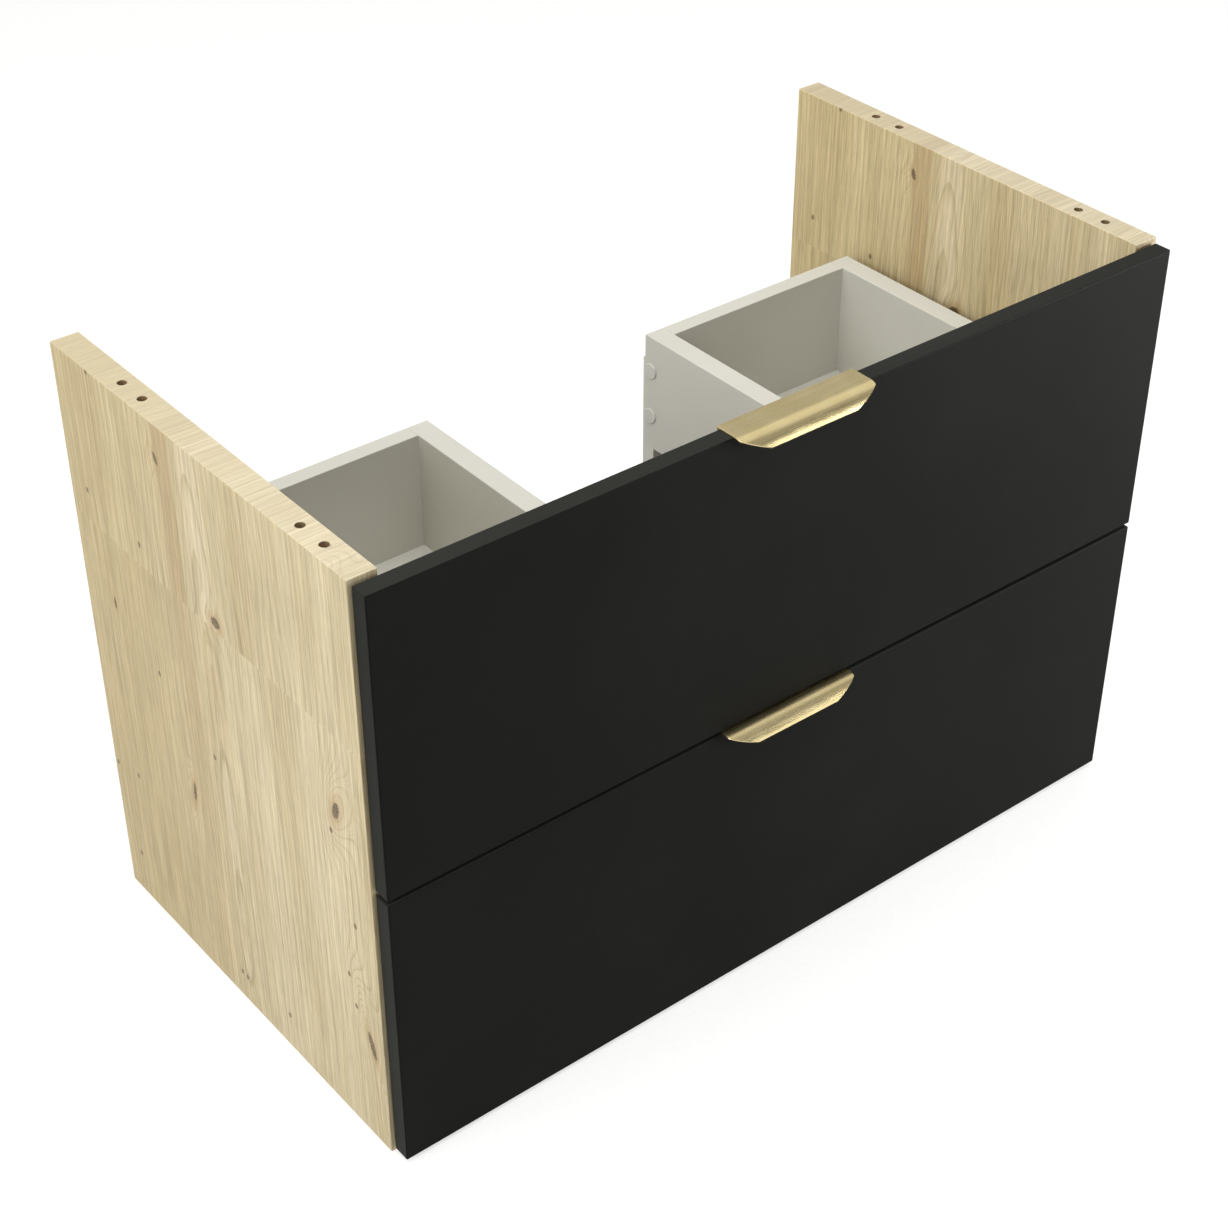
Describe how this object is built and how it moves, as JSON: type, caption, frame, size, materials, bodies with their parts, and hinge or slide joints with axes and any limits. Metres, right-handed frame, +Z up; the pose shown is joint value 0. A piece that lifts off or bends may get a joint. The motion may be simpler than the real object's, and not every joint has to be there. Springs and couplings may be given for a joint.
{
  "type": "bathroom vanity cabinet",
  "caption": "Wall-hung bathroom vanity cabinet: oak-decor side panels, flat dark drawer fronts with bent edge pulls, and an upper drawer that bends around the siphon.",
  "frame": {"origin": "under the middle of the cabinet: centre of the bounding box, at the underside", "axes": "+X to the right seen from the front, +Y to the wall, +Z up; the drawer fronts face -Y"},
  "size_m": [0.8, 0.4454, 0.55],
  "materials": {
    "oak_board": "artisan oak decor, vertical grain, satin",
    "light_board": "light grey melamine",
    "dark_front": "matt anthracite foil",
    "brushed_brass": "brushed, satin lacquered",
    "beech_dowel": "fluted beech",
    "zinc_cast": "die-cast zinc",
    "cover_cap": "light grey",
    "clear_rubber": "soft, translucent grey",
    "fastener_steel": "zinc plated",
    "runner_steel": "zinc plated sheet",
    "plate_steel": "zinc plated sheet",
    "drawer_floor": "light grey board",
    "drawer_board": "light grey melamine"
  },
  "bodies": {
    "carcass": {"back_panel": "light_board", "bottom_panel": "light_board", "cam_bolts": "fastener_steel", "cam_locks": "zinc_cast", "hanging_plate_screws": "fastener_steel", "joint_dowels": "beech_dowel", "left_hanging_plate": "plate_steel", "left_side_panel": "oak_board", "lower_left_rail": "runner_steel", "lower_right_rail": "runner_steel", "rail_screws": "fastener_steel", "right_hanging_plate": "plate_steel", "right_side_panel": "oak_board", "upper_left_rail": "runner_steel", "upper_right_rail": "runner_steel"},
    "upper_drawer": {"upper_box_screws": "fastener_steel", "upper_cover_caps": "cover_cap", "upper_cross_wall": "drawer_board", "upper_floor": "drawer_floor", "upper_front": "dark_front", "upper_front_buffers": "clear_rubber", "upper_front_screws": "fastener_steel", "upper_front_wall": "drawer_board", "upper_left_inner_wall": "drawer_board", "upper_left_rear_wall": "drawer_board", "upper_left_side": "drawer_board", "upper_left_slider": "runner_steel", "upper_pull": "brushed_brass", "upper_pull_screws": "fastener_steel", "upper_right_inner_wall": "drawer_board", "upper_right_rear_wall": "drawer_board", "upper_right_side": "drawer_board", "upper_right_slider": "runner_steel", "upper_slider_screws": "fastener_steel"},
    "lower_drawer": {"lower_box_screws": "fastener_steel", "lower_cover_caps": "cover_cap", "lower_floor": "drawer_floor", "lower_front": "dark_front", "lower_front_buffers": "clear_rubber", "lower_front_screws": "fastener_steel", "lower_front_wall": "drawer_board", "lower_left_side": "drawer_board", "lower_left_slider": "runner_steel", "lower_pull": "brushed_brass", "lower_pull_screws": "fastener_steel", "lower_rear_wall": "drawer_board", "lower_right_side": "drawer_board", "lower_right_slider": "runner_steel", "lower_slider_screws": "fastener_steel"},
    "upper_runner_middles": {"upper_left_middle_rail": "runner_steel", "upper_right_middle_rail": "runner_steel"},
    "lower_runner_middles": {"lower_left_middle_rail": "runner_steel", "lower_right_middle_rail": "runner_steel"}
  },
  "joints": [
    {"name": "upper_drawer_slide", "type": "slide", "parent": "carcass", "child": "upper_drawer", "axis": [0, -1, 0], "range_m": [0, 0.3]},
    {"name": "lower_drawer_slide", "type": "slide", "parent": "carcass", "child": "lower_drawer", "axis": [0, -1, 0], "range_m": [0, 0.3]},
    {"name": "upper_middle_slide", "type": "slide", "parent": "carcass", "child": "upper_runner_middles", "axis": [0, -1, 0], "range_m": [0, 0.15]},
    {"name": "lower_middle_slide", "type": "slide", "parent": "carcass", "child": "lower_runner_middles", "axis": [0, -1, 0], "range_m": [0, 0.15]}
  ],
  "couplings": [
    {"joint": "upper_middle_slide", "follows": "upper_drawer_slide", "ratio": 0.5},
    {"joint": "lower_middle_slide", "follows": "lower_drawer_slide", "ratio": 0.5}
  ]
}
